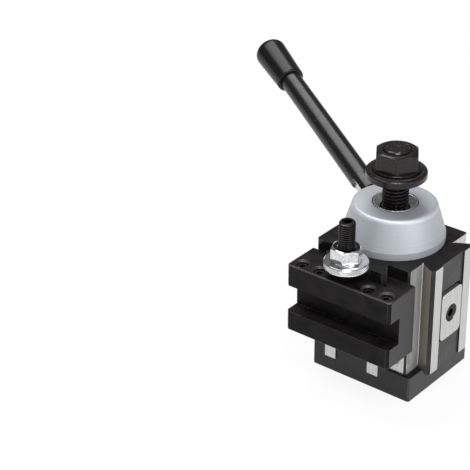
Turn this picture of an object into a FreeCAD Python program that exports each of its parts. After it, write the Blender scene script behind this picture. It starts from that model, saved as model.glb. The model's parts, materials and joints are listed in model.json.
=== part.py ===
import FreeCAD, Part
import math
import os

# A quick change tool post for a small lathe, with one turning tool holder on its
# front dovetail. The origin lies on the axis of the centre bolt, in the plane that the
# post stands on. X runs to the right, the holder is on the -Y side, and Z is up.
# The right side of the post mirrors its front across the vertical plane x = -y.

V = FreeCAD.Vector
UP = V(0, 0, 1)

# Post body
POST_HEIGHT = 76.8
CORE_RIGHT = 28.5           # reach of the core from the bolt axis on each side
CORE_LEFT = 30.0
CORE_FRONT = 27.0
CORE_BACK = 27.0
CORE_CHAMFER = 1.0
BASE_HEIGHT = 14.4
BASE_RIGHT_LEDGE = 3.9      # how far the base stands out past the core
BASE_FRONT_LEDGE = 1.4
BASE_CHAMFER = 0.8
BOLT_HOLE_CLEARANCE = 0.5
SLEEVE_SEAT_Z = 12.0
SPINDLE_FLOOR_Z = 18.0

# Male dovetails on the front and right faces
TENON_DEPTH = 9.7
TENON_WIDTH = 37.4
TENON_UNDERCUT = 4.5
TENON_CHAMFER = 1.75
TENON_OFFSET = 0.8          # towards the corner that the two faces share
LAND_WIDTH = 6.75
BAND_DEPTH = 0.8
ROOT_RELIEF = 0.4

# Clamping plates, pistons and their screws
PLATE_HEIGHT = 28.0
PLATE_BELOW_TOP = 32.3      # from the top of the post down to the middle of the plate
PLATE_THICKNESS = 5.0
PLATE_CORNER = 3.0
PLATE_PROUD = 0.25          # how far a locked plate stands out of the lands
PLATE_SIDE_GAP = 0.8
POCKET_TOP_GAP = 1.8
POCKET_FLOOR_GAP = 0.4
PISTON_RADIUS = 8.0
PISTON_STROKE = 1.0
PISTON_NOSE_RADIUS = 3.0
PISTON_NOSE_LENGTH = 1.3
PISTON_CHAMFER = 0.7
PLATE_SCREW_RADIUS = 2.5
PLATE_SCREW_HEAD_RADIUS = 4.2
PLATE_SCREW_HEAD_HEIGHT = 3.0
PLATE_SCREW_SINK = 0.4      # top of the head below the plate's face
PLATE_SCREW_GRIP = 8.0
PLATE_SCREW_SOCKET = 4.0    # across flats
PLATE_SCREW_SOCKET_DEPTH = 2.1
PLATE_SCREW_CHAMFER = 0.4

# Centre sleeve, spindle with its two cam lobes, and the hub ring
SLEEVE_RADIUS = 11.8
SLEEVE_BORE = 7.5
SLEEVE_STANDOFF = 0.2       # above the top of the ring
SLEEVE_MOUTH_RIM = 0.9
SLEEVE_MOUTH_DEPTH = 3.0
SPINDLE_RADIUS = 16.5
SPINDLE_SPIGOT = 12.0       # height of the part inside the ring
CAM_RADIUS = 15.5
CAM_BAND_MARGIN = 1.0
CAM_GAP = 0.3
HANDLE_TURN_DEG = 60.0      # from locked to free
LOBE_SPACING_DEG = 90.0     # between the lobes, as between the two dovetails
CAM_STEP_DEG = 5            # between the points that the cam curve passes through
RING_BOTTOM_RADIUS = 27.2
RING_TOP_RADIUS = 22.2
RING_HEIGHT = 20.4
RING_BAND_HEIGHT = 4.0
RING_TOP_ROUND = 2.0
RING_MOUTH_RADIUS = 12.3
RING_LIFT = 0.1             # running gap under the ring and under the spindle
RING_SCREW_RADIUS = 3.0
RING_SCREW_Z = 6.5          # above the bottom of the ring
RING_SCREW_SINK = 2.0
RING_SCREW_TURN_DEG = -60.0 # from the handle, about the bolt

# Handle: stud, rod and knob on one line that starts on the bolt axis
HANDLE_HEADING_DEG = 154.5
HANDLE_RISE_DEG = 16.0
HANDLE_AXIS_LIFT = 6.8      # above the bottom of the ring, where the line meets the bolt axis
HANDLE_LENGTH = 156.5       # from the bolt axis to the end of the knob
STUD_RADIUS = 4.0
STUD_CHAMFER = 0.8
STUD_TIP_DISTANCE = 20.5
STUD_THREAD_IN_ROD = 14.0
ROD_SEAT_GAP = 0.4          # from the cone of the ring to the end of the rod
ROD_ROOT_RADIUS = 6.4
ROD_KNOB_RADIUS = 6.1
ROD_ROOT_CHAMFER = 0.6
ROD_FLATS = 9.5             # across the two spanner flats at the root of the rod
ROD_FLAT_LENGTH = 11.1
ROD_FLAT_TURN_DEG = -133.4  # about the handle's line
ROD_TENON_RADIUS = 4.0
ROD_TENON_LENGTH = 16.0
KNOB_LENGTH = 32.0
KNOB_INNER_RADIUS = 7.9
KNOB_OUTER_RADIUS = 9.1
KNOB_DOME = 2.8             # rise of the domed end
KNOB_END_ROUND = 5.0
KNOB_INNER_ROUND = 1.2

# Centre bolt, its nut and the captive washer
BOLT_RADIUS = 7.0
BOLT_PROUD = 1.1            # above the top of the nut
BOLT_HEAD_RADIUS = 10.5
BOLT_HEAD_HEIGHT = 6.0
BOLT_HEAD_CHAMFER = 1.0
BOLT_END_CHAMFER = 1.2
NUT_FLATS = 21.6
NUT_HEIGHT = 10.7
NUT_COLLAR_RADIUS = 12.9
NUT_COLLAR_HEIGHT = 1.0
NUT_TURN_DEG = 3.5
NUT_CROWN = 0.93            # flat end of a chamfered hexagon, as a share of its flats
NUT_BORE_LEAD = 0.12        # chamfer of a nut's bore, as a share of its radius
WASHER_RADIUS = 16.1
WASHER_THICKNESS = 4.9
WASHER_LIFT = 14.6          # above the top of the ring
WASHER_STEP_RADIUS = 14.4
WASHER_STEP = 0.8
WASHER_CHAMFER = 0.6

# Tool holder
HOLDER_LENGTH = 65.0
HOLDER_CENTRE_X = 0.3
HOLDER_THICKNESS = 23.0
HOLDER_BELOW_TOP = 6.1      # from the top of the post down to the top of the holder
LOWER_JAW = 11.4
SLOT_HEIGHT = 15.5
UPPER_JAW = 12.5
SLOT_DEPTH = 9.3
HOLDER_CHAMFER = 0.5
HOLDER_CORNER_CHAMFER = 1.5 # upright edges in front
SEAT_GAP = 0.3              # between the holder's back and the post's shoulders
FLANK_GAP = 0.1
FLOOR_GAP = 0.05            # between the locked plate and the holder's dovetail floor
SOCKET_RELIEF = 0.8

# Screws, stud and nuts of the holder
THREAD_GAP = 0.05
SCREW_CHAMFER = 0.5
CLAMP_SCREW_RADIUS = 3.0
CLAMP_SCREW_LENGTH = 10.4
CLAMP_SCREW_SINK = 1.6      # top of the screw below the top of the holder
CLAMP_SCREW_SOCKET = 3.0
CLAMP_SCREW_FROM_FRONT = 5.6
CLAMP_SCREW_FROM_END = 6.0   # of the holder
CLAMP_SCREW_SPACING = 11.2
HOLE_CHAMFER = 1.0
HEIGHT_STUD_X = -0.5
HEIGHT_STUD_RADIUS = 4.35
HEIGHT_STUD_REACH = 32.5    # above the holder
HEIGHT_STUD_DEPTH = 11.0    # screwed into the upper jaw
HEIGHT_STUD_FROM_FRONT = 8.4
HEIGHT_STUD_SOCKET = 5.0
HEIGHT_STUD_CHAMFER = 0.8
KNURLED_RADIUS = 11.6
KNURLED_THICKNESS = 4.0
KNURLED_CHAMFER = 0.5
KNURLED_BOSS_RADIUS = 7.2
KNURLED_BOSS_HEIGHT = 1.1
LOCK_NUT_FLATS = 14.8
LOCK_NUT_HEIGHT = 6.8
LOCK_NUT_TURN_DEG = 51.0

# Places that follow from the sizes above
FRONT_SHOULDER = CORE_FRONT         # distance of each dovetail's shoulders from the bolt axis
RIGHT_SHOULDER = CORE_RIGHT
BAND_WIDTH = TENON_WIDTH - 2 * (TENON_CHAMFER + LAND_WIDTH)
FLANK_SLOPE = TENON_UNDERCUT / (TENON_DEPTH - TENON_CHAMFER)
RING_BOTTOM_Z = POST_HEIGHT + RING_LIFT
RING_TOP_Z = RING_BOTTOM_Z + RING_HEIGHT
HANDLE_AXIS_Z = RING_BOTTOM_Z + HANDLE_AXIS_LIFT
HANDLE_RISE = math.radians(HANDLE_RISE_DEG)
RING_SLOPE = (RING_BOTTOM_RADIUS - RING_TOP_RADIUS) / (RING_HEIGHT - RING_BAND_HEIGHT)
RING_AT_HANDLE = ((RING_BOTTOM_RADIUS + RING_SLOPE * (RING_BAND_HEIGHT - HANDLE_AXIS_LIFT))
                  / (math.cos(HANDLE_RISE) + RING_SLOPE * math.sin(HANDLE_RISE)))
ROD_ROOT_DISTANCE = RING_AT_HANDLE + ROD_SEAT_GAP
PLATE_CENTRE_Z = POST_HEIGHT - PLATE_BELOW_TOP
WASHER_BOTTOM_Z = RING_TOP_Z + WASHER_LIFT
NUT_BOTTOM_Z = WASHER_BOTTOM_Z + WASHER_THICKNESS
NUT_TOP_Z = NUT_BOTTOM_Z + NUT_HEIGHT
BOLT_TOP_Z = NUT_TOP_Z + BOLT_PROUD
HOLDER_BACK = FRONT_SHOULDER + SEAT_GAP
HOLDER_FRONT = HOLDER_BACK + HOLDER_THICKNESS
SOCKET_FLOOR = FRONT_SHOULDER + TENON_DEPTH + PLATE_PROUD + FLOOR_GAP
HOLDER_TOP_Z = POST_HEIGHT - HOLDER_BELOW_TOP
SLOT_TOP_Z = HOLDER_TOP_Z - UPPER_JAW
SLOT_BOTTOM_Z = SLOT_TOP_Z - SLOT_HEIGHT
HOLDER_BOTTOM_Z = SLOT_BOTTOM_Z - LOWER_JAW
HEIGHT_STUD_TOP_Z = HOLDER_TOP_Z + HEIGHT_STUD_REACH
HEIGHT_STUD_Y = HEIGHT_STUD_FROM_FRONT - HOLDER_FRONT
CLAMP_SCREW_Y = CLAMP_SCREW_FROM_FRONT - HOLDER_FRONT
LOCK_NUT_Z = POST_HEIGHT + KNURLED_THICKNESS + KNURLED_BOSS_HEIGHT


def plate_face(shoulder):
    """Distance of a locked plate's face from the bolt axis, on either side of the post."""
    return shoulder + TENON_DEPTH + PLATE_PROUD


def plate_back(shoulder):
    return plate_face(shoulder) - PLATE_THICKNESS


def one(shape):
    """The single solid of a finished shape, with its coplanar faces joined."""
    return shape.removeSplitter().Solids[0]


def block(x0, x1, y0, y1, z0, z1):
    return Part.makeBox(x1 - x0, y1 - y0, z1 - z0, V(x0, y0, z0))


def prism(points, z0, z1):
    """An upright prism over an outline given as (x, y) corners."""
    wire = Part.makePolygon([V(x, y, z0) for x, y in points + points[:1]])
    return Part.Face(wire).extrude(V(0, 0, z1 - z0))


def turned(profile, x=0.0, y=0.0):
    """A body turned about an upright axis, from (radius, z) points."""
    wire = Part.makePolygon([V(r, 0, z) for r, z in profile + profile[:1]])
    solid = Part.Face(wire).revolve(V(0, 0, 0), UP, 360)
    solid.translate(V(x, y, 0))
    return solid


def hexagon(flats, z0, z1, turn=0.0):
    reach = flats / math.sqrt(3)
    corners = [math.radians(turn + 60 * i) for i in range(6)]
    return prism([(reach * math.cos(a), reach * math.sin(a)) for a in corners], z0, z1)


def chamfer_cone(flats, z0, z1):
    """A coned blank that takes the upper corners off a hexagon."""
    reach = flats / math.sqrt(3)
    crown = flats / 2 * NUT_CROWN
    drop = (reach - crown) * math.tan(math.radians(30))
    return turned([(0, z0), (reach, z0), (reach, z1 - drop), (crown, z1), (0, z1)])


def hex_nut(flats, z0, z1, bore, turn):
    """A bored hexagon nut on the Z axis, with a 30 degree chamfer on top."""
    body = hexagon(flats, z0, z1, turn).common(chamfer_cone(flats, z0, z1))
    lead = NUT_BORE_LEAD * bore
    hole = turned([(0, z0), (bore + lead, z0), (bore, z0 + lead), (bore, z1 - lead),
                   (bore + lead, z1), (0, z1)])
    return body.cut(hole)


def socket_screw(radius, z0, z1, socket, chamfer):
    """A headless screw on the Z axis with a hexagon socket in its top."""
    body = turned([(0, z0), (radius - chamfer, z0), (radius, z0 + chamfer),
                   (radius, z1 - chamfer), (radius - chamfer, z1), (0, z1)])
    return body.cut(hexagon(socket, z1 - socket, z1))


def round_rim(shape, rim_radius, fillet_radius):
    """Round every circular edge of one radius."""
    rims = [e for e in shape.Edges if not e.Degenerated and isinstance(e.Curve, Part.Circle)
            and abs(e.Curve.Radius - rim_radius) < 1e-6]
    return shape.makeFillet(fillet_radius, rims)


def to_right(shape):
    """Mirror a piece of the front face on to the right face."""
    return shape.mirror(V(0, 0, 0), V(1, 1, 0))


def to_front(shape, z):
    """Turn a piece made along +Z to point out of the front face, at a height."""
    turned_piece = shape.copy()
    turned_piece.rotate(V(0, 0, 0), V(1, 0, 0), 90)
    turned_piece.translate(V(TENON_OFFSET, 0, z))
    return turned_piece


def aim(shape):
    """Place a piece made along +Z on the handle's line."""
    heading = math.radians(HANDLE_HEADING_DEG)
    level = math.cos(HANDLE_RISE)
    line = V(level * math.cos(heading), level * math.sin(heading), math.sin(HANDLE_RISE))
    placed = shape.copy()
    placed.Placement = FreeCAD.Placement(V(0, 0, HANDLE_AXIS_Z), FreeCAD.Rotation(UP, line))
    return placed


def tenon(shoulder):
    """Male dovetail on the front, with two lands and a milled band between them."""
    root = TENON_WIDTH / 2 - TENON_UNDERCUT
    wide = TENON_WIDTH / 2
    neck = shoulder - TENON_DEPTH / 2
    land = shoulder + TENON_DEPTH
    outline = [(-root, -neck), (-root, -shoulder), (-wide, TENON_CHAMFER - land),
               (TENON_CHAMFER - wide, -land), (wide - TENON_CHAMFER, -land),
               (wide, TENON_CHAMFER - land), (root, -shoulder), (root, -neck)]
    body = prism(outline, BASE_HEIGHT, POST_HEIGHT)
    body = body.cut(block(-BAND_WIDTH / 2, BAND_WIDTH / 2, -land, BAND_DEPTH - land,
                          BASE_HEIGHT, POST_HEIGHT))
    body.translate(V(TENON_OFFSET, 0, 0))
    return body


def rounded_slab(width, z0, z1, corner, y0, y1):
    """A slab facing front, centred on the dovetail, with rounded corners seen square on."""
    slab = block(-width / 2, width / 2, y0, y1, z0, z1)
    slab = slab.makeFillet(corner, [e for e in slab.Edges if abs(e.tangentAt(0).y) > 0.9])
    slab.translate(V(TENON_OFFSET, 0, 0))
    return slab


def plate_pocket(shoulder):
    """Pocket for a clamping plate, with the bore for its piston behind it."""
    floor = plate_back(shoulder) - PISTON_STROKE - POCKET_FLOOR_GAP
    low = PLATE_CENTRE_Z - PLATE_HEIGHT / 2 - PLATE_SIDE_GAP
    high = PLATE_CENTRE_Z + PLATE_HEIGHT / 2 + POCKET_TOP_GAP
    pocket = rounded_slab(BAND_WIDTH, low, high, PLATE_CORNER + PLATE_SIDE_GAP,
                          -shoulder - TENON_DEPTH, -floor)
    return pocket.fuse(to_front(Part.makeCylinder(PISTON_RADIUS + THREAD_GAP, floor), PLATE_CENTRE_Z))


def root_reliefs(shoulder):
    """Small round grooves along both roots of a dovetail."""
    root = TENON_WIDTH / 2 - TENON_UNDERCUT
    grooves = [Part.makeCylinder(ROOT_RELIEF, POST_HEIGHT - BASE_HEIGHT,
                                 V(TENON_OFFSET + side * root, -shoulder, BASE_HEIGHT))
               for side in (-1, 1)]
    return grooves[0].fuse(grooves[1])


def chamfer_upright(shape, size):
    return shape.makeChamfer(size, [e for e in shape.Edges if abs(e.tangentAt(0).z) > 0.9])


def post_body():
    core = block(-CORE_LEFT, RIGHT_SHOULDER, -FRONT_SHOULDER, CORE_BACK, 0, POST_HEIGHT)
    base = block(-CORE_LEFT, RIGHT_SHOULDER + BASE_RIGHT_LEDGE,
                 -FRONT_SHOULDER - BASE_FRONT_LEDGE, CORE_BACK, 0, BASE_HEIGHT)
    body = chamfer_upright(core, CORE_CHAMFER).fuse(
        [chamfer_upright(base, BASE_CHAMFER), tenon(FRONT_SHOULDER), to_right(tenon(RIGHT_SHOULDER))])
    head_bore = BOLT_HEAD_RADIUS + BOLT_HOLE_CLEARANCE
    spindle_bore = SPINDLE_RADIUS + THREAD_GAP
    bores = turned([(0, -1), (head_bore, -1), (head_bore, BOLT_HEAD_HEIGHT),
                    (SLEEVE_BORE, BOLT_HEAD_HEIGHT),
                    (SLEEVE_BORE, SLEEVE_SEAT_Z), (SLEEVE_RADIUS, SLEEVE_SEAT_Z),
                    (SLEEVE_RADIUS, SPINDLE_FLOOR_Z), (spindle_bore, SPINDLE_FLOOR_Z),
                    (spindle_bore, POST_HEIGHT + 1), (0, POST_HEIGHT + 1)])
    cuts = [bores, plate_pocket(FRONT_SHOULDER), to_right(plate_pocket(RIGHT_SHOULDER)),
            root_reliefs(FRONT_SHOULDER), to_right(root_reliefs(RIGHT_SHOULDER))]
    return one(body.cut(cuts))


def centre_sleeve():
    top = RING_TOP_Z + SLEEVE_STANDOFF
    return turned([(SLEEVE_BORE, SLEEVE_SEAT_Z), (SLEEVE_RADIUS, SLEEVE_SEAT_Z),
                   (SLEEVE_RADIUS, top), (SLEEVE_RADIUS - SLEEVE_MOUTH_RIM, top),
                   (SLEEVE_BORE, top - SLEEVE_MOUTH_DEPTH)])


def cam_radius(angle):
    """Radius of the cam at an angle in degrees: each lobe falls evenly over the handle's turn."""
    turn = (angle + LOBE_SPACING_DEG) % 360
    rise_back = LOBE_SPACING_DEG - HANDLE_TURN_DEG
    if turn < HANDLE_TURN_DEG:
        return CAM_RADIUS - PISTON_STROKE * turn / HANDLE_TURN_DEG
    if turn < LOBE_SPACING_DEG:
        return CAM_RADIUS - PISTON_STROKE * (LOBE_SPACING_DEG - turn) / rise_back
    if turn < LOBE_SPACING_DEG + HANDLE_TURN_DEG:
        return CAM_RADIUS - PISTON_STROKE * (turn - LOBE_SPACING_DEG) / HANDLE_TURN_DEG
    if turn < 360 - LOBE_SPACING_DEG:
        return CAM_RADIUS - PISTON_STROKE
    return CAM_RADIUS - PISTON_STROKE * (360 - turn) / LOBE_SPACING_DEG


def cam_outline(z0, z1):
    points = []
    for angle in range(0, 360, CAM_STEP_DEG):
        radius = cam_radius(angle)
        points.append(V(radius * math.cos(math.radians(angle)),
                        radius * math.sin(math.radians(angle)), z0))
    curve = Part.BSplineCurve()
    curve.interpolate(points, PeriodicFlag=True)
    return Part.Face(Part.Wire(curve.toShape())).extrude(V(0, 0, z1 - z0))


def spindle():
    """Hollow spindle: round where it runs in the post, cam shaped behind the pistons."""
    half = PISTON_RADIUS + CAM_BAND_MARGIN
    low = PLATE_CENTRE_Z - half
    high = PLATE_CENTRE_Z + half
    bottom = SPINDLE_FLOOR_Z + RING_LIFT
    top = RING_BOTTOM_Z + SPINDLE_SPIGOT
    body = Part.makeCylinder(SPINDLE_RADIUS, low - bottom, V(0, 0, bottom))
    body = body.fuse([cam_outline(low, high),
                      Part.makeCylinder(SPINDLE_RADIUS, top - high, V(0, 0, high))])
    bore = Part.makeCylinder(SLEEVE_RADIUS + THREAD_GAP, top, V(0, 0, 0))
    return one(body.cut(bore))


def ring_screw():
    """Grub screw that locks the ring to the spindle, lying along the handle's side."""
    length = RING_BOTTOM_RADIUS - SPINDLE_RADIUS - RING_SCREW_SINK
    screw = socket_screw(RING_SCREW_RADIUS, 0, length, RING_SCREW_RADIUS, SCREW_CHAMFER)
    screw.rotate(V(0, 0, 0), V(0, 1, 0), 90)
    screw.translate(V(SPINDLE_RADIUS, 0, RING_BOTTOM_Z + RING_SCREW_Z))
    screw.rotate(V(0, 0, 0), UP, HANDLE_HEADING_DEG + RING_SCREW_TURN_DEG)
    return screw


def hub_ring():
    """Coned ring with an upright band at its foot and a rounded upper rim."""
    spigot_top = RING_BOTTOM_Z + SPINDLE_SPIGOT
    foot = V(RING_BOTTOM_RADIUS, 0, RING_BOTTOM_Z + RING_BAND_HEIGHT)
    rim = V(RING_TOP_RADIUS, 0, RING_TOP_Z)
    corners = [V(SPINDLE_RADIUS, 0, RING_BOTTOM_Z), V(RING_BOTTOM_RADIUS, 0, RING_BOTTOM_Z), foot,
               rim, V(RING_MOUTH_RADIUS, 0, RING_TOP_Z), V(RING_MOUTH_RADIUS, 0, spigot_top),
               V(SPINDLE_RADIUS, 0, spigot_top)]
    ring = Part.Face(Part.makePolygon(corners + corners[:1])).revolve(V(0, 0, 0), UP, 360)
    ring = round_rim(ring, RING_TOP_RADIUS, RING_TOP_ROUND)
    stud_hole = aim(Part.makeCylinder(STUD_RADIUS, RING_BOTTOM_RADIUS * 2, V(0, 0, STUD_TIP_DISTANCE)))
    grub = Part.makeCylinder(RING_SCREW_RADIUS, RING_BOTTOM_RADIUS,
                             V(SPINDLE_RADIUS, 0, RING_BOTTOM_Z + RING_SCREW_Z), V(1, 0, 0))
    grub.rotate(V(0, 0, 0), UP, HANDLE_HEADING_DEG + RING_SCREW_TURN_DEG)
    return one(ring.cut([stud_hole, grub]))


def handle_stud():
    end = ROD_ROOT_DISTANCE + STUD_THREAD_IN_ROD
    return aim(turned([(0, STUD_TIP_DISTANCE), (STUD_RADIUS - STUD_CHAMFER, STUD_TIP_DISTANCE),
                       (STUD_RADIUS, STUD_TIP_DISTANCE + STUD_CHAMFER), (STUD_RADIUS, end), (0, end)]))


def handle_rod():
    """Tapered rod with spanner flats, tapped for the stud at one end and with a tenon for the knob."""
    seat = HANDLE_LENGTH - KNOB_LENGTH
    stud_end = ROD_ROOT_DISTANCE + STUD_THREAD_IN_ROD
    rod = turned([(STUD_RADIUS, ROD_ROOT_DISTANCE),
                  (ROD_ROOT_RADIUS - ROD_ROOT_CHAMFER, ROD_ROOT_DISTANCE),
                  (ROD_ROOT_RADIUS, ROD_ROOT_DISTANCE + ROD_ROOT_CHAMFER),
                  (ROD_KNOB_RADIUS, seat), (ROD_TENON_RADIUS, seat),
                  (ROD_TENON_RADIUS, seat + ROD_TENON_LENGTH), (0, seat + ROD_TENON_LENGTH),
                  (0, stud_end), (STUD_RADIUS, stud_end)])
    wide = ROD_ROOT_RADIUS + 1
    low = ROD_ROOT_DISTANCE - 1
    high = ROD_ROOT_DISTANCE + ROD_FLAT_LENGTH
    flats = block(-wide, -ROD_FLATS / 2, -wide, wide, low, high).fuse(
        block(ROD_FLATS / 2, wide, -wide, wide, low, high))
    flats.rotate(V(0, 0, 0), UP, ROD_FLAT_TURN_DEG)
    return aim(one(rod.cut(flats)))


def handle_knob():
    """Coned grip with a domed, rounded end and a rounded edge where the rod goes in."""
    seat = HANDLE_LENGTH - KNOB_LENGTH
    bore_end = seat + ROD_TENON_LENGTH
    dome_radius = (KNOB_OUTER_RADIUS ** 2 + KNOB_DOME ** 2) / (2 * KNOB_DOME)
    half_angle = math.asin(KNOB_OUTER_RADIUS / dome_radius) / 2
    tip = V(0, 0, HANDLE_LENGTH)
    rim = V(KNOB_OUTER_RADIUS, 0, HANDLE_LENGTH - KNOB_DOME)
    crown = V(dome_radius * math.sin(half_angle), 0,
              HANDLE_LENGTH - dome_radius * (1 - math.cos(half_angle)))
    edges = Part.makePolygon([tip, V(0, 0, bore_end), V(ROD_TENON_RADIUS, 0, bore_end),
                              V(ROD_TENON_RADIUS, 0, seat), V(KNOB_INNER_RADIUS, 0, seat), rim]).Edges
    edges.append(Part.Arc(rim, crown, tip).toShape())
    knob = Part.Face(Part.Wire(edges)).revolve(V(0, 0, 0), UP, 360)
    knob = round_rim(knob, KNOB_INNER_RADIUS, KNOB_INNER_ROUND)
    return aim(one(round_rim(knob, KNOB_OUTER_RADIUS, KNOB_END_ROUND)))


def centre_bolt():
    """Long bolt up through the post, its round head let into the underside."""
    return turned([(0, 0), (BOLT_HEAD_RADIUS - BOLT_HEAD_CHAMFER, 0),
                   (BOLT_HEAD_RADIUS, BOLT_HEAD_CHAMFER), (BOLT_HEAD_RADIUS, BOLT_HEAD_HEIGHT),
                   (BOLT_RADIUS, BOLT_HEAD_HEIGHT), (BOLT_RADIUS, BOLT_TOP_Z - BOLT_END_CHAMFER),
                   (BOLT_RADIUS - BOLT_END_CHAMFER, BOLT_TOP_Z), (0, BOLT_TOP_Z)])


def centre_nut():
    collar_top = NUT_BOTTOM_Z + NUT_COLLAR_HEIGHT
    nut = hex_nut(NUT_FLATS, NUT_BOTTOM_Z, NUT_TOP_Z, BOLT_RADIUS + THREAD_GAP, NUT_TURN_DEG)
    collar = turned([(BOLT_RADIUS + THREAD_GAP, NUT_BOTTOM_Z), (NUT_COLLAR_RADIUS, NUT_BOTTOM_Z),
                     (NUT_COLLAR_RADIUS, collar_top), (BOLT_RADIUS + THREAD_GAP, collar_top)])
    return one(nut.fuse(collar))


def nut_washer():
    """Swivel washer with a chamfered rim and a raised step under the nut."""
    step = NUT_BOTTOM_Z - WASHER_STEP
    bore = BOLT_RADIUS + BOLT_HOLE_CLEARANCE
    inner = WASHER_RADIUS - WASHER_CHAMFER
    return turned([(bore, WASHER_BOTTOM_Z), (inner, WASHER_BOTTOM_Z),
                   (WASHER_RADIUS, WASHER_BOTTOM_Z + WASHER_CHAMFER),
                   (WASHER_RADIUS, step - WASHER_CHAMFER), (inner, step),
                   (WASHER_STEP_RADIUS, step), (WASHER_STEP_RADIUS, NUT_BOTTOM_Z),
                   (bore, NUT_BOTTOM_Z)])


def piston(shoulder):
    """Round plunger from the cam to the back of its plate, tapped for the plate screw."""
    nose = CAM_RADIUS + CAM_GAP
    neck = nose + PISTON_NOSE_LENGTH
    back = plate_back(shoulder)
    body = turned([(0, nose), (PISTON_NOSE_RADIUS - PISTON_CHAMFER, nose),
                   (PISTON_NOSE_RADIUS, nose + PISTON_CHAMFER), (PISTON_NOSE_RADIUS, neck),
                   (PISTON_RADIUS - PISTON_CHAMFER, neck),
                   (PISTON_RADIUS, neck + PISTON_CHAMFER), (PISTON_RADIUS, back), (0, back)])
    tapped = Part.makeCylinder(PLATE_SCREW_RADIUS, PLATE_SCREW_GRIP, V(0, 0, back - PLATE_SCREW_GRIP))
    return to_front(body.cut(tapped), PLATE_CENTRE_Z)


def screw_seat(shoulder):
    """Distance of the plate screw's seat from the bolt axis."""
    return plate_face(shoulder) - PLATE_SCREW_HEAD_HEIGHT - PLATE_SCREW_SINK


def clamp_plate(shoulder):
    face = plate_face(shoulder)
    back = plate_back(shoulder)
    slab = rounded_slab(BAND_WIDTH - 2 * PLATE_SIDE_GAP, PLATE_CENTRE_Z - PLATE_HEIGHT / 2,
                        PLATE_CENTRE_Z + PLATE_HEIGHT / 2, PLATE_CORNER, -face, -back)
    sunk = PLATE_SCREW_HEAD_RADIUS + PLATE_SIDE_GAP
    seat = screw_seat(shoulder)
    hole = turned([(0, back), (PLATE_SCREW_RADIUS, back), (PLATE_SCREW_RADIUS, seat), (sunk, seat),
                   (sunk, face), (0, face)])
    return one(slab.cut(to_front(hole, PLATE_CENTRE_Z)))


def plate_screw(shoulder):
    seat = screw_seat(shoulder)
    top = seat + PLATE_SCREW_HEAD_HEIGHT
    tip = plate_back(shoulder) - PLATE_SCREW_GRIP
    body = turned([(0, tip), (PLATE_SCREW_RADIUS, tip), (PLATE_SCREW_RADIUS, seat),
                   (PLATE_SCREW_HEAD_RADIUS, seat), (PLATE_SCREW_HEAD_RADIUS, top - PLATE_SCREW_CHAMFER),
                   (PLATE_SCREW_HEAD_RADIUS - PLATE_SCREW_CHAMFER, top), (0, top)])
    socket = hexagon(PLATE_SCREW_SOCKET, top - PLATE_SCREW_SOCKET_DEPTH, top)
    return to_front(body.cut(socket), PLATE_CENTRE_Z)


def holder_socket():
    """The space of the holder's female dovetail, wide enough to slide on the post."""
    lean = FLANK_SLOPE * SEAT_GAP
    mouth = TENON_WIDTH / 2 - TENON_UNDERCUT + lean + FLANK_GAP
    wide = mouth + FLANK_SLOPE * (SOCKET_FLOOR - HOLDER_BACK)
    low = HOLDER_BOTTOM_Z - 1
    high = HOLDER_TOP_Z + 1
    space = prism([(FLANK_SLOPE - mouth, 1 - HOLDER_BACK), (-wide, -SOCKET_FLOOR),
                   (wide, -SOCKET_FLOOR), (mouth - FLANK_SLOPE, 1 - HOLDER_BACK)], low, high)
    corner = wide - SOCKET_RELIEF / 2
    grooves = [Part.makeCylinder(SOCKET_RELIEF, high - low,
                                 V(side * corner, SOCKET_RELIEF / 4 - SOCKET_FLOOR, low))
               for side in (-1, 1)]
    space = space.fuse(grooves)
    space.translate(V(TENON_OFFSET, 0, 0))
    return space


def holder_block():
    """Slotted steel block: tool slot in front, dovetail socket behind, tapped from above."""
    left = HOLDER_CENTRE_X - HOLDER_LENGTH / 2
    right = HOLDER_CENTRE_X + HOLDER_LENGTH / 2
    body = block(left, right, -HOLDER_FRONT, -HOLDER_BACK, HOLDER_BOTTOM_Z, HOLDER_TOP_Z)
    slot = block(left - 1, right + 1, -HOLDER_FRONT - 1, SLOT_DEPTH - HOLDER_FRONT,
                 SLOT_BOTTOM_Z, SLOT_TOP_Z)
    front = [e for e in body.Edges if abs(e.tangentAt(0).z) > 0.9
             and abs(e.CenterOfMass.y + HOLDER_FRONT) < 1e-6]
    body = body.makeChamfer(HOLDER_CORNER_CHAMFER, front)
    corner = HOLDER_FRONT - HOLDER_CORNER_CHAMFER - 1e-6
    rest = [e for e in body.Edges if abs(e.tangentAt(0).z) < 0.1 or -e.CenterOfMass.y < corner]
    body = body.makeChamfer(HOLDER_CHAMFER, rest)
    cuts = [slot, holder_socket()]
    for x in clamp_screw_places():
        cuts.append(turned([(0, SLOT_TOP_Z - 1), (CLAMP_SCREW_RADIUS + THREAD_GAP, SLOT_TOP_Z - 1),
                            (CLAMP_SCREW_RADIUS + THREAD_GAP, HOLDER_TOP_Z - HOLE_CHAMFER),
                            (CLAMP_SCREW_RADIUS + THREAD_GAP + HOLE_CHAMFER, HOLDER_TOP_Z),
                            (0, HOLDER_TOP_Z)], x, CLAMP_SCREW_Y))
    cuts.append(Part.makeCylinder(HEIGHT_STUD_RADIUS, HEIGHT_STUD_DEPTH + 1,
                                  V(HEIGHT_STUD_X, HEIGHT_STUD_Y, HOLDER_TOP_Z - HEIGHT_STUD_DEPTH)))
    return one(body.cut(cuts))


def clamp_screw_places():
    """The four clamp screws along X, left to right."""
    outer = HOLDER_LENGTH / 2 - CLAMP_SCREW_FROM_END
    inner = outer - CLAMP_SCREW_SPACING
    return [HOLDER_CENTRE_X + reach for reach in (-outer, -inner, inner, outer)]


def clamp_screw(place):
    top = HOLDER_TOP_Z - CLAMP_SCREW_SINK
    screw = socket_screw(CLAMP_SCREW_RADIUS, top - CLAMP_SCREW_LENGTH, top, CLAMP_SCREW_SOCKET,
                         SCREW_CHAMFER)
    screw.translate(V(place, CLAMP_SCREW_Y, 0))
    return screw


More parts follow.
